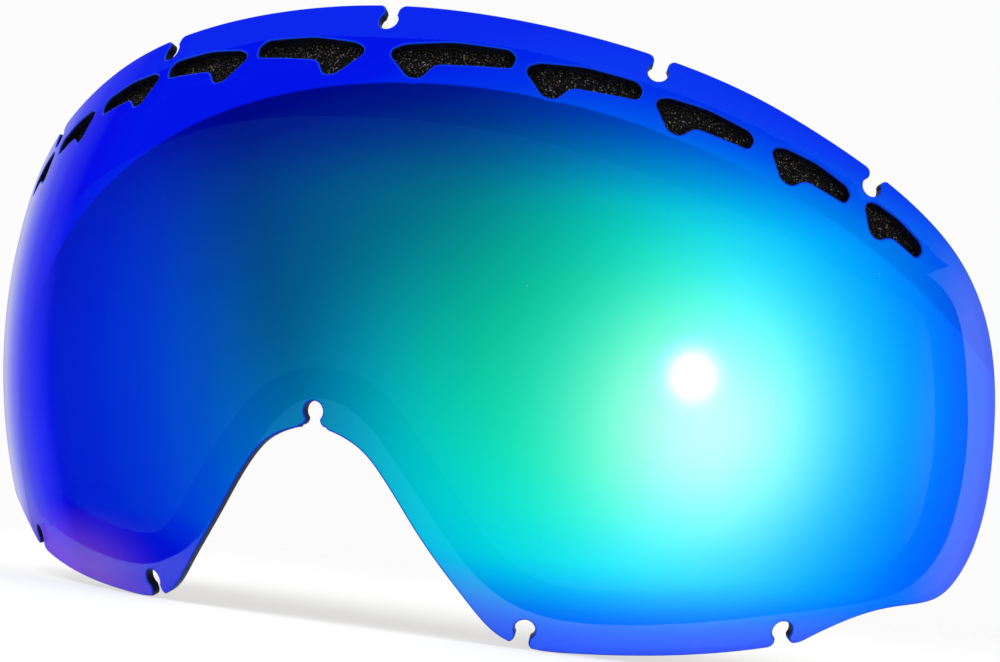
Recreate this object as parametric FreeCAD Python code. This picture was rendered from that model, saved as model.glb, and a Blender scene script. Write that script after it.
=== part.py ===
import FreeCAD, Part
import math
import os
from FreeCAD import Placement, Rotation, Vector

# Replacement dual-pane lens for ski goggles.
#
# +Z is up, -Y is forwards and +X is towards the wearer's left.  The front of the
# lens is part of a sphere.  Every layer is a slice between two spheres about the
# same centre, so the layers nest without gaps, and every edge is square to the
# surface.  The pieces are drawn with the frontmost point at zero, and are moved
# at the end so that the origin is the middle of the whole lens's box.
#
# Outlines are drawn on a flat sketch of the front surface, in millimetres:
# "across" is the distance along the equator from the middle of the lens, and
# "up" is the distance along the meridian.  Only the +X half is drawn.

# ---- driving dimensions, millimetres ----
LENS_RADIUS = 108.0

OUTER_THICKNESS = 1.6
TAPE_THICKNESS = 0.2
GASKET_THICKNESS = 2.8
INNER_THICKNESS = 0.9
FOAM_THICKNESS = 3.0

GASKET_WIDTH = 4.8
TAPE_WIDTH = 4.2
INNER_LENS_SETBACK = 0.3

FOAM_ABOVE_GASKET = 0.25
FOAM_HALF_LENGTH = 101.5
FOAM_END_SLOPE = 3.0
TAPE_SETBACK_ON_FOAM = 0.4
TAPE_END_SETBACK = 1.5

KEYHOLE_RADIUS = 1.6
PEG_PATH_RADIUS = 1.8
KEYHOLE_NECK = 2.3
KEYHOLE_LIP_RADIUS = 1.2

LONGEST_VENT = 20.6
VENT_STEP = 2.1
VENT_BACK_RISE = 2.7

CENTRE = Vector(0, LENS_RADIUS, 0)
CUT_MARGIN = 1.5

# ---- how outlines become solids ----
# Blocks run between two planes in front of the centre, as parts of the radius.
# Every layer lies between them, out to the temples.
NEAR_PLANE = 0.35
FAR_PLANE = 1.15
POINTS_PER_SPAN = 8
LENS_EDGE_STEPS = 80
GASKET_STEPS = 240
BROW_STEPS = 80
FINE_STEPS = 640

# ---- the flat sketch, (across, up) ----
# Lens edge from the top centre round the temple to the sharp lower outer tip.
UPPER_EDGE = [
    (0, 51.8), (24, 50.3), (46.5, 46.6), (64, 41.8), (78, 35.9), (88, 30.9),
    (96, 26.0), (103.5, 19.6), (108.7, 11.8), (111.8, 2.5), (113.6, -8.5),
    (114.7, -20), (113.6, -28.8), (111.9, -32.4), (108.6, -34.9), (103, -36.3),
    (96.5, -38.0), (90.5, -40.8), (85, -44.2),
]

# Lens edge from that tip under the cheek and over the nose to the bridge.
LOWER_EDGE = [
    (85, -44.2), (73, -47.1), (58, -49.4), (46, -50.4), (38.5, -50.4),
    (33, -48.9), (27.2, -43.9), (18.5, -33.9), (12, -25.2), (8.3, -21.5),
    (4.2, -19.5), (0, -18.7),
]

# Middle line of the gasket, from the top centre round to the bridge.
GASKET_LINE = [
    (0, 35.3), (20, 34.6), (40, 31.7), (60, 26.6), (76, 21.1), (88, 16.7),
    (95, 15.0), (99.3, 13.6), (102.2, 10.6), (104.1, 5.6), (105.5, -0.5),
    (107.3, -11), (107.7, -20), (106.8, -26.5), (103.3, -31.6), (96.5, -34.6),
    (83, -37.8), (66, -41.3), (50, -43.4), (40, -43.1), (33.6, -41.0),
    (28, -36.7), (21.6, -29.2), (15.3, -21.6), (10.3, -16.1), (5.5, -13.1),
    (0, -12.0),
]

# Top edge of the vent foam, just above the vents.
FOAM_TOP_LINE = [
    (0, 46.8), (24, 46.2), (40, 43.6), (55, 40.4), (68, 36.4), (80, 31.8),
    (90, 26.9), (97, 22.4), (101.5, 18.6),
]

# Keyholes, as (across, up) of the nearest edge point and the depth of the seat.
KEYHOLES_ON_AXIS = [(0, 51.8, 3.1), (0, -18.7, 2.4)]
KEYHOLES_ON_SIDE = [
    (49.5, 45.8, 2.9), (87.5, 31.2, 2.6), (81.7, -45.1, 2.6), (36.6, -50.1, 3.0),
]

# Vents from the middle outwards, as (across, up) of the inner tip and the tilt.
VENTS = [
    (3.3, 42.0, 1.7), (27.4, 40.6, -4.6), (49.1, 37.4, -15.8),
    (68.6, 31.9, -23.2), (84.8, 25.5, -31.1),
]

# Corners of the longest vent as (along, up, rounding).  The hook's corners are
# measured from the vent's inner tip, and the tail's from its outer tip.
VENT_HOOK = [
    (8.0, -1.4, 2.2), (5.9, -4.1, 1.5), (3.7, -3.7, 1.7), (-0.5, 1.0, 1.1),
    (2.2, 2.2, 3.0),
]
VENT_TAIL = [(-1.0, 1.9, 2.0), (0.0, 0.6, 0.8), (-0.3, -1.3, 0.8)]


# ---- sketch helpers ----
def point(place):
    return Vector(place[0], place[1], 0)


def whole(half):
    """Both halves of a line of sketch points that starts or ends on the middle."""
    mirrored = [(-across, up) for across, up in reversed(half)]
    if half[0][0] == 0:
        return mirrored[:-1] + list(half)
    return list(half) + mirrored[1:]


def open_curve(places):
    curve = Part.BSplineCurve()
    curve.interpolate([point(place) for place in places])
    return curve


def closed_curve(places):
    curve = Part.BSplineCurve()
    curve.interpolate(Points=[point(place) for place in places], PeriodicFlag=True)
    return curve


def beside(curve, parameter, distance):
    """Sketch point at a distance to the right of a curve's direction of travel."""
    along = curve.tangent(parameter)[0]
    return curve.value(parameter) + Vector(along.y, -along.x, 0) * distance


def samples(curve, steps, distance=0.0):
    """Points evenly spaced by length along a curve, or along a line beside it."""
    found = []
    for step in range(steps + 1):
        length = curve.length() * step / steps
        parameter = curve.parameterAtDistance(length, curve.FirstParameter)
        found.append(beside(curve, parameter, distance))
    return found


# ---- from the sketch to the sphere ----
def outward(place):
    """Unit vector from the sphere's centre through a sketch point."""
    turn = place.x / LENS_RADIUS
    lift = place.y / LENS_RADIUS
    flat = math.cos(lift)
    return Vector(flat * math.sin(turn), -flat * math.cos(turn), math.sin(lift))


def frame_at(place, heading):
    """Placement on the front surface: z outwards, x along the sketch heading."""
    turn = place.x / LENS_RADIUS
    lift = place.y / LENS_RADIUS
    east = Vector(math.cos(turn), math.sin(turn), 0)
    north = Vector(-math.sin(lift) * math.sin(turn), math.sin(lift) * math.cos(turn),
                   math.cos(lift))
    normal = outward(place)
    x_axis = east * math.cos(heading) + north * math.sin(heading)
    y_axis = north * math.cos(heading) - east * math.sin(heading)
    turned = Rotation(x_axis, y_axis, normal, "ZXY")
    return Placement(CENTRE + normal * LENS_RADIUS, turned)


def on_plane(place, ahead):
    """Where the line through a sketch point meets the plane ahead of the centre."""
    aim = outward(place)
    return CENTRE + aim * (ahead / -aim.y)


def radial_block(sections):
    """Solid whose walls all point at the centre, over a closed chain of curves.

    Each section is a list of sketch points, joined smoothly inside the section
    and at a corner to the next one.  A long section is split into short spans.
    """
    wires = []
    for part_of_radius in (NEAR_PLANE, FAR_PLANE):
        edges = []
        for places in sections:
            flat = [on_plane(place, part_of_radius * LENS_RADIUS) for place in places]
            for start in range(0, len(flat) - 1, POINTS_PER_SPAN):
                span = flat[start:start + POINTS_PER_SPAN + 1]
                if len(span) == 2:
                    edges.append(Part.makeLine(span[0], span[1]))
                    continue
                curve = Part.BSplineCurve()
                curve.interpolate(span)
                edges.append(curve.toShape())
        wires.append(Part.Wire(edges))
    return Part.makeLoft(wires, True, True)


def shell(front_depth, thickness):
    """Layer between two spheres, at a depth behind the lens's front surface."""
    front = Part.makeSphere(LENS_RADIUS - front_depth, CENTRE)
    return front.cut(Part.makeSphere(LENS_RADIUS - front_depth - thickness, CENTRE))


def mirror(shape):
    return shape.mirror(Vector(0, 0, 0), Vector(1, 0, 0))


def only_solid(shape, name):
    """The single solid in a shape, checked."""
    if len(shape.Solids) != 1 or not shape.Solids[0].isValid():
        raise ValueError("%s is not one valid solid" % name)
    return shape.Solids[0]


# ---- outlines ----
def lens_block():
    upper = open_curve(whole(UPPER_EDGE))
    lower = open_curve(whole(LOWER_EDGE))
    return radial_block([samples(upper, LENS_EDGE_STEPS), samples(lower, LENS_EDGE_STEPS)])


def gasket_curve():
    half = GASKET_LINE
    mirrored = [(-across, up) for across, up in reversed(half[1:-1])]
    return closed_curve(half + mirrored)


def gasket_block(distance):
    return radial_block([samples(gasket_curve(), GASKET_STEPS, distance)])


def ring(front_depth, thickness, width):
    block = gasket_block(-width / 2).cut(gasket_block(width / 2))
    return shell(front_depth, thickness).common(block)


# ---- keyholes and vents ----
def keyhole_frame(across, up, seat_depth):
    """Placement at the middle of a keyhole's seat, with x pointing into the lens."""
    edge = open_curve(whole(UPPER_EDGE if up > 0 else LOWER_EDGE))
    parameter = edge.parameter(point((across, up)))
    seat = beside(edge, parameter, seat_depth)
    inwards = seat - edge.value(parameter)
    return frame_at(seat, math.atan2(inwards.y, inwards.x))


def keyhole_cutter(across, up, seat_depth):
    """Round seat, neck and flared mouth of one keyhole, square to the lens."""
    depth = OUTER_THICKNESS + 2 * CUT_MARGIN
    low = -OUTER_THICKNESS - CUT_MARGIN
    reach = seat_depth + CUT_MARGIN
    mouth_start = seat_depth - KEYHOLE_LIP_RADIUS
    mouth_half = KEYHOLE_NECK / 2 + KEYHOLE_LIP_RADIUS

    bore = Part.makeCylinder(KEYHOLE_RADIUS, depth, Vector(0, 0, low))
    neck = Part.makeBox(reach, KEYHOLE_NECK, depth, Vector(-reach, -KEYHOLE_NECK / 2, low))
    mouth = Part.makeBox(reach - mouth_start, 2 * mouth_half, depth,
                         Vector(-reach, -mouth_half, low))
    for side in (-mouth_half, mouth_half):
        lip = Part.makeCylinder(KEYHOLE_LIP_RADIUS, depth, Vector(-mouth_start, side, low))
        mouth = mouth.cut(lip)
    cutter = bore.fuse([neck, mouth])
    cutter.Placement = keyhole_frame(across, up, seat_depth)
    return cutter


def peg_path(across, up, seat_depth):
    """Space behind a keyhole's seat that the frame's peg needs."""
    low = -OUTER_THICKNESS - TAPE_THICKNESS - FOAM_THICKNESS - CUT_MARGIN
    path = Part.makeCylinder(PEG_PATH_RADIUS, -low, Vector(0, 0, low))
    path.Placement = keyhole_frame(across, up, seat_depth)
    return path


def rounded_polygon(corners):
    """Closed wire through (x, y, radius) corners, each rounded by its radius."""
    count = len(corners)
    arcs = []
    for index in range(count):
        before = point(corners[index - 1])
        corner = point(corners[index])
        after = point(corners[(index + 1) % count])
        back = (before - corner).normalize()
        ahead = (after - corner).normalize()
        half_angle = back.getAngle(ahead) / 2
        radius = corners[index][2]
        setback = radius / math.tan(half_angle)
        middle = (back + ahead).normalize() * (radius / math.sin(half_angle) - radius)
        arcs.append((corner + back * setback, corner + middle, corner + ahead * setback))
    edges = []
    for index in range(count):
        start, through, end = arcs[index]
        edges.append(Part.Arc(start, through, end).toShape())
        edges.append(Part.makeLine(end, arcs[(index + 1) % count][0]))
    return Part.Wire(edges)


def vent_cutter(index):
    """One vent: a long tail with a rounded hook below its inner end."""
    across, up, tilt = VENTS[index]
    length = LONGEST_VENT - VENT_STEP * index
    heading = math.radians(tilt)
    middle = Vector(across + math.cos(heading) * length / 2,
                    up + math.sin(heading) * length / 2, 0)

    size = (1 + length / LONGEST_VENT) / 2
    corners = [(x * size, y * size, radius) for x, y, radius in VENT_HOOK]
    corners.append((length / 2, VENT_BACK_RISE * size, length))
    corners += [(length + x, y * size, radius) for x, y, radius in VENT_TAIL]
    shifted = [(x - length / 2, y, radius) for x, y, radius in corners]
    face = Part.Face(rounded_polygon(shifted))
    low = OUTER_THICKNESS + TAPE_THICKNESS + CUT_MARGIN
    face.translate(Vector(0, 0, -low))
    cutter = face.extrude(Vector(0, 0, low + CUT_MARGIN))
    cutter.Placement = frame_at(middle, heading)
    return cutter


def at_keyholes(make):
    """A cutter made at every keyhole."""
    cutters = [make(*keyhole) for keyhole in KEYHOLES_ON_AXIS]
    for keyhole in KEYHOLES_ON_SIDE:
        cutter = make(*keyhole)
        cutters += [cutter, mirror(cutter)]
    return cutters


def vent_cutters():
    cutters = []
    for index in range(len(VENTS)):
        cutter = vent_cutter(index)
        cutters += [cutter, mirror(cutter)]
    return cutters


# ---- the pieces ----
def outer_lens():
    blank = shell(0, OUTER_THICKNESS).common(lens_block())
    return blank.cut(at_keyholes(keyhole_cutter) + vent_cutters())


def brow_line(curve, distance, half_length):
    """Line beside a curve where it crosses the brow, from -X to +X."""
    fine = [place for place in samples(curve, FINE_STEPS, distance)
            if abs(place.x) < half_length and place.y > 0]
    fine.sort(key=lambda place: place.x)
    last = len(fine) - 1
    return [fine[round(last * step / BROW_STEPS)] for step in range(BROW_STEPS + 1)]


def foam_block(setback, end_setback):
    """Strip behind the vents, above the gasket and clear of the frame's pegs."""
    half_length = FOAM_HALF_LENGTH - end_setback
    above_gasket = GASKET_WIDTH / 2 + FOAM_ABOVE_GASKET + setback
    top = brow_line(open_curve(whole(FOAM_TOP_LINE)), setback, half_length)
    low = brow_line(gasket_curve(), -above_gasket, half_length - FOAM_END_SLOPE)
    low.reverse()
    block = radial_block([top, [top[-1], low[0]], low, [low[-1], top[0]]])
    return block.cut(at_keyholes(peg_path))


def vent_foam():
    depth = OUTER_THICKNESS + TAPE_THICKNESS
    return shell(depth, FOAM_THICKNESS).common(foam_block(0, 0))


def vent_foam_tape():
    block = foam_block(TAPE_SETBACK_ON_FOAM, TAPE_END_SETBACK)
    return shell(OUTER_THICKNESS, TAPE_THICKNESS).common(block).cut(vent_cutters())


def gasket_tape_front():
    return ring(OUTER_THICKNESS, TAPE_THICKNESS, TAPE_WIDTH)


def spacer_gasket():
    return ring(OUTER_THICKNESS + TAPE_THICKNESS, GASKET_THICKNESS, GASKET_WIDTH)


def gasket_tape_back():
    depth = OUTER_THICKNESS + TAPE_THICKNESS + GASKET_THICKNESS
    return ring(depth, TAPE_THICKNESS, TAPE_WIDTH)


def inner_lens():
    depth = OUTER_THICKNESS + 2 * TAPE_THICKNESS + GASKET_THICKNESS
    block = gasket_block(-GASKET_WIDTH / 2 + INNER_LENS_SETBACK)
    return shell(depth, INNER_THICKNESS).common(block)


PIECES = [
    outer_lens, gasket_tape_front, spacer_gasket, gasket_tape_back, inner_lens,
    vent_foam_tape, vent_foam,
]


def write_pieces():
    os.makedirs("parts", exist_ok=True)
    solids = {piece.__name__: only_solid(piece(), piece.__name__) for piece in PIECES}
    middle = solids["outer_lens"].optimalBoundingBox(False, False).Center
    for name, solid in solids.items():
        solid.translate(-middle)
        solid.exportStep("parts/%s.step" % name)


write_pieces()
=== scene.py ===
import math

import bmesh
import bpy
import numpy as np
from mathutils import Matrix, Vector, noise
from mathutils.geometry import delaunay_2d_cdt
from mathutils.kdtree import KDTree

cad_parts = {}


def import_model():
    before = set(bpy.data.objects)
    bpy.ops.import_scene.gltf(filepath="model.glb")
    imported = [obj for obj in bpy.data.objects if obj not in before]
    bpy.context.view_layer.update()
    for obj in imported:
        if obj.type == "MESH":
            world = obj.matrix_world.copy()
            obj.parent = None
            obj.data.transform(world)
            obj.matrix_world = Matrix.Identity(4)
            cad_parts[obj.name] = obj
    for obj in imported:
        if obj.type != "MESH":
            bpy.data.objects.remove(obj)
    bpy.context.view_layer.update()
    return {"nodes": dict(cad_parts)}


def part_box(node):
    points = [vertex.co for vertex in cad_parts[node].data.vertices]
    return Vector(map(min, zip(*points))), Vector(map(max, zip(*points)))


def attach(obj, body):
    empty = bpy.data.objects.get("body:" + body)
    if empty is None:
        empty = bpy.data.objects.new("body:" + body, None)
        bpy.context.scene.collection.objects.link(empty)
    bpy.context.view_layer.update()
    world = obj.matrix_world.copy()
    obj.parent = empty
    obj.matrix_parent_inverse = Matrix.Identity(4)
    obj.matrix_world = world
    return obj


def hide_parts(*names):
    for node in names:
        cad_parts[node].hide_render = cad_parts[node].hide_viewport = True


# Replacement dual-pane lens for ski goggles: a mirror-coated outer lens, a foam
# gasket and a clear inner lens, with black foam behind the vents.  Every layer is a
# slice between two spheres about one centre.  Lengths are metres, in the CAD frame.

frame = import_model()

MM = 0.001
LENS_RADIUS = 108 * MM
BROW_REACH = 51.8 * MM    # along the sphere, from its equator up to the top edge

lens_low, lens_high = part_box("outer_lens")
CENTRE_HEIGHT = lens_high.z - LENS_RADIUS * math.sin(BROW_REACH / LENS_RADIUS)
CENTRE = Vector((0, lens_low.y + LENS_RADIUS, CENTRE_HEIGHT))
FRONT_POINT = Vector((0, lens_low.y, CENTRE_HEIGHT))

OUTER_THICKNESS = 1.6 * MM
TAPE_THICKNESS = 0.2 * MM
GASKET_THICKNESS = 2.8 * MM
INNER_THICKNESS = 0.9 * MM
FOAM_THICKNESS = 3.0 * MM

OUTER_ROUNDING = 0.28 * MM
INNER_ROUNDING = 0.15 * MM
GASKET_ROUNDING = 0.35 * MM
ROUNDING_STEPS = 3

FOAM_CUT_REACH = 5 * MM
FOAM_CUT_DEPTH = 1.6 * MM
FOAM_NICK_LENGTH = 1.1 * MM
FOAM_NICK_DEPTH = 0.35 * MM
PORE_SIZE = 0.55 * MM
PORE_DEPTH = 0.30 * MM

SAME_PLACE = 0.001 * MM            # vertices closer than this are merged
ON_SURFACE = 0.06 * MM             # how far a facet's corner may lie off its sphere
SHARP_CORNER = math.radians(24)    # an outline that turns more than this has a corner


# ---------------------------------------------------------------- sphere and sketch
def unroll(place):
    """Flat sketch point, (across, up) as lengths along the front sphere."""
    aim = (place - CENTRE).normalized()
    return Vector((LENS_RADIUS * math.atan2(aim.x, -aim.y), LENS_RADIUS * math.asin(aim.z)))


def directions(flat):
    """Unit vectors outwards, eastwards and northwards at rows of sketch points."""
    turn = flat[:, 0] / LENS_RADIUS
    lift = flat[:, 1] / LENS_RADIUS
    level = np.zeros_like(turn)
    outwards = np.stack([np.cos(lift) * np.sin(turn), -np.cos(lift) * np.cos(turn),
                         np.sin(lift)], axis=1)
    east = np.stack([np.cos(turn), np.sin(turn), level], axis=1)
    north = np.stack([-np.sin(lift) * np.sin(turn), np.sin(lift) * np.cos(turn),
                      np.cos(lift)], axis=1)
    return outwards, east, north


def roll_up(flat, depth):
    """Places at a depth behind the front sphere, from rows of sketch points."""
    outwards = directions(flat)[0]
    return np.array(CENTRE) + outwards * (LENS_RADIUS - np.reshape(depth, (-1, 1)))


def outlines(node, depth):
    """Edge loops of a CAD node's front face, on the sketch, with the piece on the left."""
    mesh = bmesh.new()
    mesh.from_mesh(frame["nodes"][node].data)
    bmesh.ops.remove_doubles(mesh, verts=mesh.verts, dist=SAME_PLACE)
    near = {vert for vert in mesh.verts
            if abs((vert.co - CENTRE).length - (LENS_RADIUS - depth)) < ON_SURFACE}
    front = [face for face in mesh.faces if near.issuperset(face.verts)]
    on_front = set(front)
    following = {}
    for face in front:
        for corner in face.loops:
            if not on_front.issuperset(corner.edge.link_faces):
                following[corner.vert] = corner.link_loop_next.vert
    loops = []
    while following:
        start = vert = next(iter(following))
        loop = []
        while vert in following:
            loop.append(unroll(vert.co))
            vert = following.pop(vert)
        loops.append(loop)
    mesh.free()
    return loops


def turning(before, here, after):
    """Angle between the two stretches that meet at a point, in radians."""
    return (here - before).angle(after - here, 0.0)


def smoothed(loop, step):
    """A closed outline with curved stretches between its points; corners stay sharp."""
    count = len(loop)
    found = []
    for index in range(count):
        before = loop[index - 1]
        start = loop[index]
        end = loop[(index + 1) % count]
        after = loop[(index + 2) % count]
        chord = end - start
        lead_in = (end - before) / ((end - start).length + (start - before).length)
        lead_out = (after - start) / ((after - end).length + (end - start).length)
        if turning(before, start, end) > SHARP_CORNER:
            lead_in = chord.normalized()
        if turning(start, end, after) > SHARP_CORNER:
            lead_out = chord.normalized()
        pieces = max(1, round(chord.length / step))
        for piece in range(pieces):
            t = piece / pieces
            along = (3 - 2 * t) * t * t
            pull_in = t * (1 - t) ** 2 * chord.length
            pull_out = t * t * (t - 1) * chord.length
            found.append(start + chord * along + lead_in * pull_in + lead_out * pull_out)
    spaced = [found[0]]
    for place in found[1:]:
        if min((place - spaced[-1]).length, (place - spaced[0]).length) > step / 4:
            spaced.append(place)
    return np.array([tuple(place) for place in spaced])


def side_vectors(loop):
    """Unit vectors away from the piece at each point of a closed outline."""
    ahead = np.roll(loop, -1, axis=0) - loop
    ahead /= np.linalg.norm(ahead, axis=1)[:, None]
    right = np.stack([ahead[:, 1], -ahead[:, 0]], axis=1)
    both = right + np.roll(right, 1, axis=0)
    return both / np.linalg.norm(both, axis=1)[:, None]


def inside(points, loops):
    """True for each point that lies within the outer outline and outside the holes."""
    order = np.argsort(points[:, 1])
    x, y = points[order].T
    crossings = np.zeros(len(points), dtype=int)
    for loop in loops:
        for start, end in zip(loop, np.roll(loop, -1, axis=0)):
            low, high = sorted((start[1], end[1]))
            first, last = np.searchsorted(y, (low, high))
            if first < last:
                reach = (y[first:last] - start[1]) / (end[1] - start[1])
                crossings[first:last] += x[first:last] < start[0] + (end[0] - start[0]) * reach
    found = np.empty(len(points), dtype=bool)
    found[order] = crossings % 2 == 1
    return found


def grid_points(loops, spacing):
    """Staggered points that fill the outlines, kept clear of their edges."""
    edge = np.concatenate(loops)
    low = edge.min(axis=0)
    high = edge.max(axis=0)
    rows = np.arange(low[1], high[1], spacing * math.sqrt(0.75))
    columns = np.arange(low[0], high[0], spacing)
    points = np.array([(x + spacing / 2 * (row % 2), y)
                       for row, y in enumerate(rows) for x in columns])
    points = points[inside(points, loops)]
    tree = KDTree(len(edge))
    for index, place in enumerate(edge):
        tree.insert((*place, 0), index)
    tree.balance()
    return np.array([place for place in points if tree.find((*place, 0))[2] > spacing * 0.6])


# ---------------------------------------------------------------- mesh building
def make_object(name, vertices, faces, materials, face_slots=None, normals=None):
    """A smooth-shaded object; slots pick each face's material, normals bend the shading."""
    mesh = bpy.data.meshes.new(name)
    mesh.from_pydata([tuple(place) for place in vertices], [], faces)
    for material in materials:
        mesh.materials.append(material)
    if face_slots is not None:
        mesh.polygons.foreach_set("material_index", face_slots)
    mesh.polygons.foreach_set("use_smooth", [True] * len(mesh.polygons))
    mesh.validate()
    if normals is not None:
        mesh.normals_split_custom_set_from_vertices([tuple(normal) for normal in normals])
    mesh.update()
    piece = bpy.data.objects.new(name, mesh)
    bpy.context.scene.collection.objects.link(piece)
    return piece


def rounded_wall(front_depth, thickness, rounding):
    """(inset, depth, lean) of the edge's cross-section, from the front to the back."""
    wall = []
    for step in range(ROUNDING_STEPS + 1):
        lean = math.radians(90) * step / ROUNDING_STEPS
        wall.append((rounding * (1 - math.sin(lean)),
                     front_depth + rounding * (1 - math.cos(lean)), lean))
    back = [(inset, 2 * front_depth + thickness - depth, math.pi - lean)
            for inset, depth, lean in reversed(wall)]
    return wall + back


def curved_sheet(name, node, depth, wall, spacing, edge_step, materials):
    """A layer of the lens with rounded edges, filled with an even grid of points.

    Materials are for the front, the back and the cut edge, in that order.
    """
    loops = [smoothed(loop, edge_step) for loop in outlines(node, depth)]
    sides = [side_vectors(loop) for loop in loops]
    rim = np.concatenate(loops)
    side = np.concatenate(sides)
    fill_loops = [loop - away * wall[0][0] for loop, away in zip(loops, sides)]
    fill_rim = np.concatenate(fill_loops)
    grid = grid_points(fill_loops, spacing)
    flat = np.concatenate([fill_rim, grid])

    edges = []
    first = 0
    for loop in loops:
        count = len(loop)
        edges += [(first + i, first + (i + 1) % count) for i in range(count)]
        first += count
    result = delaunay_2d_cdt([Vector(place) for place in flat], edges, [], 0, 1e-9)
    source = [found[0] for found in result[3]]
    triangles = np.array([[source[i] for i in face] for face in result[2]])
    triangles = triangles[inside(flat[triangles].mean(axis=1), fill_loops)]

    places = []
    normals = []
    outwards, east, north = directions(rim)
    away = east * side[:, :1] + north * side[:, 1:]
    for inset, level, lean in wall:
        places.append(roll_up(rim - side * inset, level))
        normals.append(outwards * math.cos(lean) + away * math.sin(lean))
    grid_outwards = directions(grid)[0]
    for level, sign in ((wall[0][1], 1), (wall[-1][1], -1)):
        places.append(roll_up(grid, level))
        normals.append(grid_outwards * sign)

    rim_count = len(rim)
    levels = len(wall)
    front_start = rim_count * levels
    back_start = front_start + len(grid)
    on_rim = triangles < rim_count
    front = np.where(on_rim, triangles, triangles - rim_count + front_start)
    back = np.where(on_rim, triangles + rim_count * (levels - 1),
                    triangles - rim_count + back_start)
    faces = [tuple(face) for face in front.tolist()]
    faces += [tuple(reversed(face)) for face in back.tolist()]
    slots = [0] * len(front) + [1] * len(back)
    for level in range(levels - 1):
        here = rim_count * level
        below = here + rim_count
        faces += [(here + a, below + a, below + b, here + b) for a, b in edges]
        slots += [2] * len(edges)
    return make_object(name, np.concatenate(places), faces, materials, slots,
                       np.concatenate(normals))


def ride_for(piece, node):
    """The piece stands for a CAD node, which is hidden, and joins the root body."""
    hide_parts(node)
    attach(piece, "root")


# ---------------------------------------------------------------- shader helpers
class Shader:
    """Short calls for building one material's or the world's node tree."""

    def __init__(self, owner):
        owner.use_nodes = True
        self.tree = owner.node_tree
        self.tree.nodes.clear()

    def node(self, kind, inputs=None, **settings):
        made = self.tree.nodes.new(kind)
        for name, value in settings.items():
            setattr(made, name, value)
        for key, value in (inputs or {}).items():
            self.feed(made.inputs[key], value)
        return made

    def feed(self, socket, value):
        if isinstance(value, bpy.types.NodeSocket):
            self.tree.links.new(value, socket)
        else:
            socket.default_value = value

    def math(self, operation, *values):
        made = self.node("ShaderNodeMath", operation=operation)
        for socket, value in zip(made.inputs, values):
            self.feed(socket, value)
        return made.outputs[0]

    def vector(self, operation, *values):
        inputs = dict(enumerate(values))
        return self.node("ShaderNodeVectorMath", inputs, operation=operation).outputs

    def dot(self, one, other):
        return self.vector("DOT_PRODUCT", one, other)["Value"]

    def ramp(self, value, low, high, start=0.0, end=1.0, kind="SMOOTHSTEP"):
        """From start to end while the value goes from low to high."""
        made = self.node("ShaderNodeMapRange", {"Value": value, "From Min": low,
                         "From Max": high, "To Min": start, "To Max": end},
                         interpolation_type=kind)
        return made.outputs["Result"]

    def colours(self, value, stops):
        """Colour ramp through (position, (r, g, b)) stops."""
        made = self.node("ShaderNodeValToRGB", {"Fac": value})
        elements = made.color_ramp.elements
        while len(elements) < len(stops):
            elements.new(0.5)
        for element, (position, colour) in zip(elements, stops):
            element.position = position
            element.color = (*colour, 1)
        return made.outputs["Color"]

    def tint(self, colour, factor, other):
        """Blend from one colour to the other."""
        made = self.node("ShaderNodeMix", {0: factor, 6: colour, 7: other}, data_type="RGBA")
        return made.outputs[2]

    def place(self):
        return self.node("ShaderNodeTexCoord").outputs["Object"]

    def axes(self):
        """Across, forwards-back and up, as three sockets."""
        return self.node("ShaderNodeSeparateXYZ", {0: self.place()}).outputs

    def noise(self, scale, detail, place=None):
        inputs = {"Scale": scale, "Vector": place or self.place(), "Detail": detail}
        return self.node("ShaderNodeTexNoise", inputs).outputs["Fac"]

    def cells(self, scale):
        inputs = {"Scale": scale, "Vector": self.place()}
        return self.node("ShaderNodeTexVoronoi", inputs).outputs["Distance"]

    def bump(self, height, distance):
        inputs = {"Height": height, "Distance": distance}
        return self.node("ShaderNodeBump", inputs).outputs["Normal"]

    def from_behind(self):
        """1 where the surface is seen from its back, 0 elsewhere."""
        return self.node("ShaderNodeNewGeometry").outputs["Backfacing"]

    def gloss(self, colour, roughness, **others):
        inputs = {"Color": colour, "Roughness": roughness, **others}
        return self.node("ShaderNodeBsdfGlossy", inputs).outputs[0]

    def clear(self, colour):
        return self.node("ShaderNodeBsdfTransparent", {"Color": colour}).outputs[0]

    def body(self, colour, roughness, specular, **others):
        """Opaque plastic, foam or film."""
        inputs = {"Base Color": colour, "Roughness": roughness,
                  "Specular IOR Level": specular, **others}
        return self.node("ShaderNodeBsdfPrincipled", inputs).outputs[0]

    def mix(self, factor, one, other):
        return self.node("ShaderNodeMixShader", {0: factor, 1: one, 2: other}).outputs[0]

    def add(self, one, other):
        return self.node("ShaderNodeAddShader", {0: one, 1: other}).outputs[0]

    def surface(self, shader):
        self.node("ShaderNodeOutputMaterial", {"Surface": shader})


def new_material(name):
    material = bpy.data.materials.new(name)
    return material, Shader(material)


def grey(value):
    return (value, value, value, 1)


def by_degrees(stops):
    return [(degrees / 90, colour) for degrees, colour in stops]


def towards(azimuth, elevation):
    """Unit vector at an azimuth from straight ahead and an elevation, in degrees."""
    a = math.radians(azimuth)
    e = math.radians(elevation)
    return (math.sin(a) * math.cos(e), -math.cos(a) * math.cos(e), math.sin(e))


def facing(shader):
    """Cosine of the angle between the view and the surface's normal, from either side."""
    geometry = shader.node("ShaderNodeNewGeometry").outputs
    return shader.math("ABSOLUTE", shader.dot(geometry["Incoming"], geometry["Normal"]))


def viewing_angle(shader):
    """Angle between the view and the surface's normal, from 0 to 1 for 90 degrees."""
    return shader.math("MULTIPLY", shader.math("ARCCOSINE", facing(shader)), 2 / math.pi)


def gloss_share(shader, straight_on):
    """Share of light that a clear surface reflects, the same from both of its sides."""
    slant = shader.math("POWER", shader.math("SUBTRACT", 1, facing(shader)), 5)
    return shader.math("MULTIPLY_ADD", slant, 1 - straight_on, straight_on)


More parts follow.
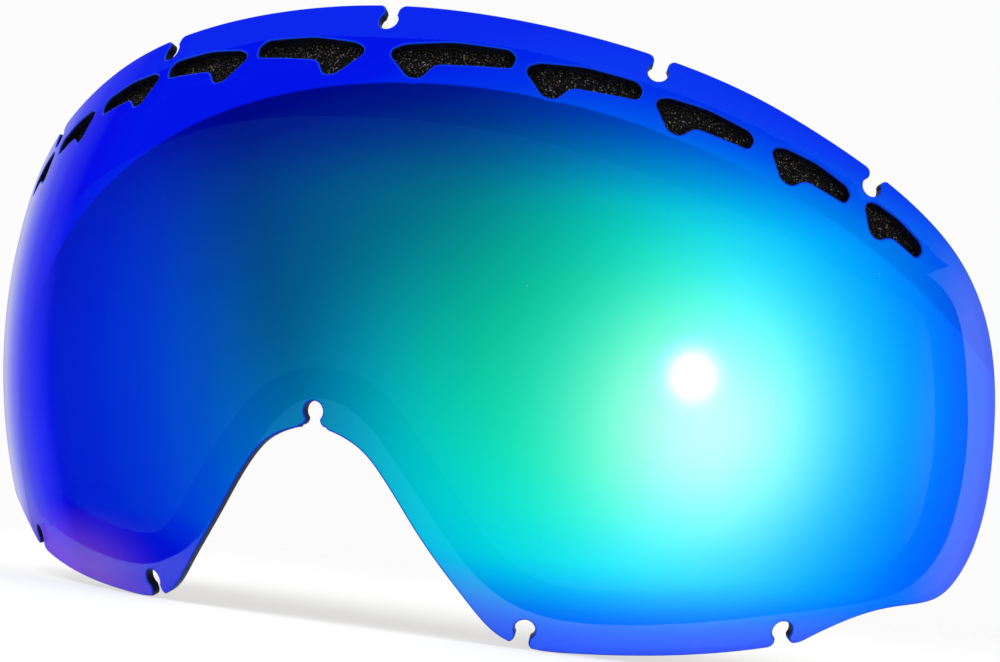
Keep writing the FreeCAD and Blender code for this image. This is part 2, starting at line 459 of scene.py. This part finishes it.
# ---------------------------------------------------------------- mirror coat
# Colour of the mirror coat by viewing angle in degrees: green near straight on,
# through cyan and blue to violet, and white at a glance.
COAT_COLOURS = [
    (0, (0.010, 0.93, 0.55)), (10, (0.004, 0.93, 0.58)), (15, (0.002, 0.90, 0.70)),
    (20, (0.001, 0.78, 0.86)), (25, (0.0, 0.58, 0.93)), (30, (0.0, 0.40, 0.94)),
    (36, (0.0, 0.24, 0.94)), (42, (0.0, 0.12, 0.93)), (50, (0.0, 0.040, 0.92)),
    (58, (0.0, 0.010, 0.90)), (67, (0.002, 0.004, 0.88)), (72, (0.030, 0.032, 0.92)),
    (76, (0.085, 0.090, 0.94)), (80, (0.24, 0.24, 0.94)), (85, (0.56, 0.55, 0.90)),
]
# The same coat seen from behind, through the tinted plastic.
BACK_COLOURS = [
    (0, (0.20, 0.085, 0.030)), (30, (0.17, 0.060, 0.045)), (55, (0.10, 0.035, 0.07)),
    (75, (0.16, 0.12, 0.16)), (88, (0.65, 0.65, 0.68)),
]
# The coat gets thinner towards the brow and the chin, which shifts its colours as a
# steeper view would, in degrees.  The shift alone goes no further than the bluest one.
BROW_SHIFT = 20
CHIN_SHIFT = 18
BLUEST = 61
UNEVENNESS = 0.8
CHIN_VIOLET = (0.19, 0.055, 0.78)

# Light that the tinted plastic and its coat let through.
MIDDLE_TINT = (0.004, 0.040, 0.055)
RIM_TINT = (0.09, 0.09, 0.095)
BROW_TINT = (0.004, 0.016, 0.06)
TINT_FROM_BEHIND = (0.23, 0.115, 0.075)
# Painted reflection: the coat's blue painted onto the outer lens's rounded front corner.
RIM_REFLECTION_COLOUR = (0.0, 0.035, 0.55)

KEY_AIM = (43, -1)      # azimuth and elevation of the key light, degrees
PAINTED_GLARE_AIM = (46, -10)    # the painted glare is centred lower than the light
# Painted glare: the coat's reflected colour is painted white round the key light's reflection.
PAINTED_GLARE_STRENGTH = 0.43
PAINTED_GLARE_SHARPNESS = 20

DUST_COLOUR = (0.55, 0.65, 0.75, 1)
DUST_COVER = 0.35


def coat_angle(shader, angle):
    """Viewing angle as the coat sees it, with the shifts of its uneven thickness."""
    height = shader.axes()["Z"]
    brow = shader.ramp(height, 16 * MM, 40 * MM, 0, BROW_SHIFT / 90)
    chin = shader.ramp(height, -34 * MM, -49 * MM, 0, CHIN_SHIFT / 90)
    uneven = UNEVENNESS / 90
    drift = shader.ramp(shader.noise(14, 1), 0.3, 0.7, -uneven, uneven, "LINEAR")
    shifted = shader.math("ADD", angle, shader.math("ADD", brow, chin))
    limited = shader.math("MAXIMUM", angle, shader.math("MINIMUM", shifted, BLUEST / 90))
    return shader.math("ADD", limited, drift)


def tint_colour(shader, angle):
    """Light let through: most near the rim, where the coat is thinnest."""
    across, _, height = shader.axes()
    side = shader.ramp(shader.math("ABSOLUTE", across), 82 * MM, 90 * MM)
    chin = shader.ramp(height, -36 * MM, -43 * MM, 0, 0.5)
    brow = shader.ramp(height, 8 * MM, 34 * MM)
    tint = shader.tint((*MIDDLE_TINT, 1), shader.math("MAXIMUM", side, chin), (*RIM_TINT, 1))
    tint = shader.tint(tint, brow, (*BROW_TINT, 1))
    tint = shader.tint(tint, shader.from_behind(), (*TINT_FROM_BEHIND, 1))
    at_a_glance = shader.ramp(angle, 0.7, 1.0)
    return shader.tint(tint, at_a_glance, grey(0.0))


def violet_flash(shader, angle, colour):
    """The coat's violet at the lower corners, seen at a slant."""
    chin = shader.ramp(shader.axes()["Z"], -35 * MM, -47 * MM)
    slant = shader.ramp(angle, 52 / 90, 66 / 90)
    return shader.tint(colour, shader.math("MULTIPLY", chin, slant), (*CHIN_VIOLET, 1))


def painted_key_glare(shader, colour):
    """Painted glare: the coat's colour is painted whiter round the key light's reflection."""
    reflected = shader.node("ShaderNodeTexCoord").outputs["Reflection"]
    closeness = shader.math("MAXIMUM", shader.dot(reflected, towards(*PAINTED_GLARE_AIM)), 0)
    spread = shader.math("POWER", closeness, PAINTED_GLARE_SHARPNESS)
    return shader.tint(colour, shader.math("MULTIPLY", spread, PAINTED_GLARE_STRENGTH), grey(1.0))


def dusted(shader, coated):
    """A few fine specks of dust in patches on top of the coat."""
    speck = shader.ramp(shader.cells(260), 0.0, 0.035, 1.0, 0.0)
    patch = shader.ramp(shader.noise(45, 0), 0.60, 0.66)
    cover = shader.math("MULTIPLY", shader.math("MULTIPLY", speck, patch), DUST_COVER)
    dust = shader.node("ShaderNodeBsdfDiffuse", {"Color": DUST_COLOUR}).outputs[0]
    return shader.mix(cover, coated, dust)


def mirror_coat():
    """Thin-film mirror on tinted plastic, with faint smears and fine dust."""
    material, shader = new_material("mirror_coat")
    angle = viewing_angle(shader)
    front = shader.colours(coat_angle(shader, angle), by_degrees(COAT_COLOURS))
    front = painted_key_glare(shader, violet_flash(shader, angle, front))
    back = shader.colours(angle, by_degrees(BACK_COLOURS))
    colour = shader.tint(front, shader.from_behind(), back)
    smears = shader.ramp(shader.noise(60, 4), 0.35, 0.8, 0.0, 0.035)
    ripple = shader.bump(shader.noise(90, 1), 0.002 * MM)
    gloss = shader.gloss(colour, smears, Normal=ripple)
    clear = shader.clear(tint_colour(shader, angle))
    shader.surface(dusted(shader, shader.add(gloss, clear)))
    return material


# ---------------------------------------------------------------- other materials
def clear_plastic(name, tint, smear_scale):
    """Thin clear plastic: see-through, with the gloss of its surface on top."""
    material, shader = new_material(name)
    smears = shader.ramp(shader.noise(smear_scale, 3), 0.3, 0.8, 0.01, 0.09)
    gloss = shader.gloss(grey(1.0), smears)
    clear = shader.clear((*tint, 1))
    shader.surface(shader.mix(gloss_share(shader, 0.04), clear, gloss))
    return material


def cut_edge(name, colour, other, rounded_reflection_colour):
    """Edge of a moulded lens, with fine lines across its thickness.

    The corner that is rounded over to the front takes its own colour, a painted reflection of the
    front's finish.
    """
    material, shader = new_material(name)
    stretched = shader.node("ShaderNodeMapping", {"Vector": shader.place(),
                            "Scale": (1, 0.15, 1)}).outputs[0]
    lines = shader.noise(1400, 3, stretched)
    wall = shader.tint((*colour, 1), shader.ramp(lines, 0.35, 0.7), (*other, 1))
    geometry = shader.node("ShaderNodeNewGeometry").outputs
    from_centre = shader.vector("SUBTRACT", geometry["Position"], CENTRE)[0]
    outwards = shader.vector("NORMALIZE", from_centre)[0]
    facing_front = shader.ramp(shader.dot(outwards, geometry["Normal"]), 0.2, 0.7)
    # painted reflection on the rounded corner, by how far it faces the front
    base = shader.tint(wall, facing_front, (*rounded_reflection_colour, 1))
    roughness = shader.ramp(lines, 0.2, 0.8, 0.25, 0.5)
    body = shader.body(base, roughness, 0.06, Normal=shader.bump(lines, 0.02 * MM))
    shader.surface(shader.mix(geometry["Backfacing"], body, shader.clear(grey(0.85))))
    return material


def closed_cell_foam():
    """Dense black gasket foam with a fine skin of closed cells."""
    material, shader = new_material("closed_cell_foam")
    fine = shader.noise(900, 3)
    mottle = shader.ramp(fine, 0.35, 0.75)
    base = shader.tint((0.009, 0.009, 0.011, 1), mottle, (0.028, 0.028, 0.032, 1))
    skin = shader.bump(shader.math("ADD", shader.cells(2600), fine), 0.06 * MM)
    shader.surface(shader.body(base, 0.82, 0.25, Normal=skin))
    return material


def open_cell_foam():
    """Black filter foam: dark pores, with fine grey and tan glints on the struts."""
    material, shader = new_material("open_cell_foam")
    glint = shader.ramp(shader.noise(3200, 3), 0.56, 0.68)
    patches = shader.ramp(shader.noise(700, 1), 0.35, 0.7, 0.25, 1)
    warm = shader.ramp(shader.noise(1300, 1), 0.54, 0.64)
    glint_colour = shader.tint((0.20, 0.21, 0.23, 1), warm, (0.30, 0.18, 0.07, 1))
    amount = shader.math("MULTIPLY", glint, patches)
    base = shader.tint((0.002, 0.002, 0.0025, 1), amount, glint_colour)
    shader.surface(shader.body(base, 0.85, 0.1, Normal=shader.bump(glint, 0.08 * MM)))
    return material


def adhesive(name, dark, light):
    """Die-cut adhesive: a film with a slightly cloudy, mottled gloss."""
    material, shader = new_material(name)
    mottle = shader.noise(1500, 4)
    base = shader.tint(grey(dark), shader.ramp(mottle, 0.35, 0.7), grey(light))
    roughness = shader.ramp(mottle, 0.3, 0.7, 0.3, 0.55)
    shader.surface(shader.body(base, roughness, 0.5, Normal=shader.bump(mottle, 0.02 * MM)))
    return material


# ---------------------------------------------------------------- pieces
def outer_lens():
    wall = rounded_wall(0, OUTER_THICKNESS, OUTER_ROUNDING)
    back = clear_plastic("lens_back", (0.97, 0.96, 0.96), 50)
    edge = cut_edge("outer_lens_edge", (0.002, 0.002, 0.005), (0.008, 0.009, 0.03), RIM_REFLECTION_COLOUR)
    materials = [mirror_coat(), back, edge]
    piece = curved_sheet("outer_lens_pane", "outer_lens", 0, wall, 1.6 * MM, 0.45 * MM, materials)
    ride_for(piece, "outer_lens")


def inner_lens():
    depth = OUTER_THICKNESS + 2 * TAPE_THICKNESS + GASKET_THICKNESS
    wall = rounded_wall(depth, INNER_THICKNESS, INNER_ROUNDING)
    # The pane's grey tint is painted shade: it darkens what shows through the middle of the lens.
    pane = clear_plastic("anti_fog_pane", (0.58, 0.60, 0.62), 40)
    edge = cut_edge("inner_lens_edge", (0.06, 0.065, 0.07), (0.16, 0.17, 0.18), (0.3, 0.31, 0.32))
    materials = [pane, pane, edge]
    piece = curved_sheet("inner_lens_pane", "inner_lens", depth, wall, 2.0 * MM, 0.6 * MM, materials)
    ride_for(piece, "inner_lens")


def gasket():
    depth = OUTER_THICKNESS + TAPE_THICKNESS
    wall = rounded_wall(depth, GASKET_THICKNESS, GASKET_ROUNDING)
    materials = [closed_cell_foam()] * 3
    piece = curved_sheet("spacer_gasket_foam", "spacer_gasket", depth, wall, 1.0 * MM, 0.5 * MM,
                         materials)
    ride_for(piece, "spacer_gasket")


def tapes():
    black = adhesive("black_adhesive", 0.010, 0.018)
    pale = adhesive("grey_adhesive", 0.10, 0.15)
    for name, film in (("gasket_tape_front", black), ("gasket_tape_back", pale),
                       ("vent_foam_tape", black)):
        frame["nodes"][name].material_slots[0].material = film


def strip_edges(loop, columns):
    """Upper and lower edge of a long strip, as rows of sketch points from -X to +X."""
    left = int(np.argmin(loop[:, 0]))
    turned = np.roll(loop, -left, axis=0)
    right = int(np.argmax(turned[:, 0]))
    lower = turned[:right + 1]
    upper = np.concatenate([turned[right:], turned[:1]])[::-1]
    edges = []
    for line in (upper, lower):
        line = line[np.argsort(line[:, 0], kind="stable")]
        across = np.linspace(line[0, 0], line[-1, 0], columns)
        edges.append(np.stack([across, np.interp(across, line[:, 0], line[:, 1])], axis=1))
    return edges


def hand_cut(flat, height):
    """Roughens the strip's ends and its upper edge, as scissors leave them."""
    half = flat[:, 0].max()
    cut = flat.copy()
    for place in cut:
        end = max(0.0, (abs(place[0]) - half + FOAM_CUT_REACH) / FOAM_CUT_REACH)
        bite = noise.noise(Vector((height * 7, math.copysign(3, place[0]), 0))) - 0.35
        place[0] += math.copysign(FOAM_CUT_DEPTH * bite * end * end, place[0])
        nick = noise.noise(Vector((place[0] / FOAM_NICK_LENGTH, 9, 0)))
        place[1] += FOAM_NICK_DEPTH * (nick - 0.4) * height ** 6
    return cut


def tube_faces(columns, around):
    """Faces between neighbouring rings of a tube."""
    faces = []
    for column in range(columns - 1):
        here = column * around
        there = here + around
        for step in range(around):
            after = (step + 1) % around
            faces.append((here + step, there + step, there + after, here + after))
    return faces


def vent_foam():
    """Strip of open-cell foam: a tube of rows round its cross-section, with pores."""
    front = OUTER_THICKNESS + TAPE_THICKNESS
    loop = smoothed(outlines("vent_foam", front)[0], 0.5 * MM)
    fineness = 1.0
    columns = round(860 * fineness)
    rows = round(54 * fineness)
    layers = round(12 * fineness)
    upper, lower = strip_edges(loop, columns)
    lines = [hand_cut(lower + (upper - lower) * row / rows, row / rows) for row in range(rows + 1)]
    depths = [front + FOAM_THICKNESS * layer / layers for layer in range(layers + 1)]

    # Round the cross-section: up the front, over the top, down the back, under.
    section = [(row, 0) for row in range(rows)]
    section += [(rows, layer) for layer in range(layers)]
    section += [(rows - row, layers) for row in range(rows)]
    section += [(0, layers - layer) for layer in range(layers)]
    rings = [roll_up(lines[row], depths[layer]) for row, layer in section]
    places = np.stack(rings, axis=1).reshape(-1, 3).tolist()
    faces = tube_faces(columns, len(section))

    for column in (0, columns - 1):
        corner = {place: column * len(section) + step for step, place in enumerate(section)}
        for row in range(1, rows):
            for layer in range(1, layers):
                corner[row, layer] = len(places)
                flat = lines[row][column:column + 1]
                places.append(roll_up(flat, depths[layer])[0].tolist())
        for row in range(rows):
            for layer in range(layers):
                quad = [corner[row, layer], corner[row + 1, layer],
                        corner[row + 1, layer + 1], corner[row, layer + 1]]
                faces.append(quad[::-1] if column else quad)
    piece = make_object("vent_foam_strip", places, faces, [open_cell_foam()])
    carve_pores(piece.data)
    ride_for(piece, "vent_foam")


def carve_pores(mesh):
    """Sinks the surface between the struts of a random cell pattern."""
    normals = [normal.vector.copy() for normal in mesh.vertex_normals]
    places = []
    for vertex, normal in zip(mesh.vertices, normals):
        near = noise.voronoi(vertex.co / PORE_SIZE)[0]
        clear_of_strut = min(1.0, (near[1] - near[0]) / 0.45)
        rough = 0.5 + 0.5 * noise.noise(vertex.co / (3 * PORE_SIZE))
        sunk = PORE_DEPTH * clear_of_strut * (0.6 + 0.4 * rough)
        places.extend(vertex.co - normal * sunk)
    mesh.vertices.foreach_set("co", places)
    mesh.update()


# ---------------------------------------------------------------- studio
# Light that the mirror sees: broad lobes as (azimuth, elevation, radius) in degrees
# and a strength, and the key light's halo as (sharpness, strength).
DIMMEST = 0.25
LOBES = [
    (116, 9, 120, 0.71), (59, -50, 100, 0.65), (-85, -18, 54, 0.45),
    (-118, -5, 22, 0.35),
]
KEY_HALO = [(14, 0.13), (500, 6)]
TENT_AIM = (180, 56)
TENT_EDGE = (0.227, 0.235)    # closeness to the tent's aim where the tent starts
TENT_LEVEL = 0.90

REFLECTED_COLOUR = (0.97, 0.985, 1.0, 1)
SOFT_COLOUR = (1.0, 0.995, 0.985, 1)
SOFT_LEVEL = 0.75
BACKDROP_LEVEL = 0.97

FLOOR_RADIUS = 1.2
FLOOR_FADE = (0.14, 0.60)     # distances where the floor starts and ends to fade out


def reflected_level(shader):
    """Brightness that the mirror sees in each direction.

    It is a soft tent with a dark front.  The tent's front edge runs over the lens's
    brow.  A key light at the front right glows through the tent's opening.
    """
    aim = shader.node("ShaderNodeTexCoord").outputs["Generated"]
    level = DIMMEST
    for azimuth, elevation, radius, strength in LOBES:
        closeness = shader.dot(aim, towards(azimuth, elevation))
        glow = shader.ramp(closeness, math.cos(math.radians(radius)), 1, 0, strength)
        level = shader.math("ADD", glow, level)
    to_key = shader.math("MAXIMUM", shader.dot(aim, towards(*KEY_AIM)), 0)
    for sharpness, strength in KEY_HALO:
        halo = shader.math("POWER", to_key, sharpness)
        level = shader.math("MULTIPLY_ADD", halo, strength, level)
    tent = shader.ramp(shader.dot(aim, towards(*TENT_AIM)), *TENT_EDGE)
    return shader.node("ShaderNodeMix", {0: tent, 2: level, 3: TENT_LEVEL},
                       data_type="FLOAT").outputs[0]


def world():
    """White for the camera, soft light on the pieces, and the tent for reflections."""
    studio = bpy.data.worlds.new("studio")
    bpy.context.scene.world = studio
    shader = Shader(studio)

    def background(colour, level):
        inputs = {"Color": colour, "Strength": level}
        return shader.node("ShaderNodeBackground", inputs).outputs[0]

    reflected = background(REFLECTED_COLOUR, reflected_level(shader))
    soft = background(SOFT_COLOUR, SOFT_LEVEL)
    white = background(grey(1.0), BACKDROP_LEVEL)
    path = shader.node("ShaderNodeLightPath").outputs
    lit = shader.mix(path["Is Glossy Ray"], soft, reflected)
    seen = shader.mix(path["Is Camera Ray"], lit, white)
    shader.node("ShaderNodeOutputWorld", {"Surface": seen})


def floor():
    """Pale floor that fades out into the backdrop and does not show from below."""
    bpy.ops.mesh.primitive_circle_add(vertices=96, radius=FLOOR_RADIUS, fill_type="NGON",
                                      location=(0, 0, lens_low.z))
    ground = bpy.context.object
    ground.name = "floor"
    material, shader = new_material("pale_floor")
    distance = shader.vector("LENGTH", shader.place())["Value"]
    faded = shader.ramp(distance, *FLOOR_FADE, 0.5, 1)
    gone = shader.math("MAXIMUM", faded, shader.from_behind())
    tone = shader.tint((0.86, 0.865, 0.87, 1), shader.noise(30, 4), (0.90, 0.90, 0.90, 1))
    shader.surface(shader.mix(gone, shader.body(tone, 0.7, 0.2), shader.clear(grey(1.0))))
    ground.data.materials.append(material)
    ground.visible_glossy = False


def area_light(name, place, power):
    """Soft square light, aimed at the lens, that the mirror does not show."""
    light = bpy.data.lights.new(name, "AREA")
    light.shape = "SQUARE"
    light.size = 0.5
    light.energy = power
    lamp = bpy.data.objects.new(name, light)
    lamp.location = place
    lamp.rotation_euler = (-Vector(place)).to_track_quat("-Z", "Y").to_euler()
    lamp.visible_glossy = False
    bpy.context.scene.collection.objects.link(lamp)


# The camera's turn about the upright axis, its tilt up and its roll, in degrees, and
# where it stands from the lens's front point along its own right, back and down.
CAMERA_TURN = 23.36
CAMERA_TILT = 3.86
CAMERA_ROLL = -6.64
CAMERA_RIGHT = 27.33 * MM
CAMERA_BACK = 392.56 * MM
CAMERA_DOWN = 3.87 * MM
FOCAL_LENGTH = 91.98    # for a sensor 36 mm wide


def camera():
    """Close view from the front and a little from the wearer's left."""
    turn = Matrix.Rotation(math.radians(CAMERA_TURN), 3, "Z")
    tilt = Matrix.Rotation(math.radians(CAMERA_TILT), 3, "X")
    roll = Matrix.Rotation(math.radians(CAMERA_ROLL), 3, "Y")
    right, forward, up = (turn @ tilt @ roll).col
    place = FRONT_POINT + right * CAMERA_RIGHT - forward * CAMERA_BACK - up * CAMERA_DOWN
    lens = bpy.data.cameras.new("camera")
    lens.lens = FOCAL_LENGTH
    lens.sensor_width = 36
    lens.clip_start = 0.01
    eye = bpy.data.objects.new("camera", lens)
    axes = Matrix((right, up, -forward)).transposed().to_4x4()
    eye.matrix_world = Matrix.Translation(place) @ axes
    bpy.context.scene.collection.objects.link(eye)
    bpy.context.scene.camera = eye


outer_lens()
inner_lens()
gasket()
tapes()
vent_foam()
world()
floor()
area_light("key", (-0.35, -0.45, 0.7), 5)
area_light("fill", (0.5, -0.3, 0.4), 2)
camera()
bpy.context.scene.view_settings.view_transform = "Standard"
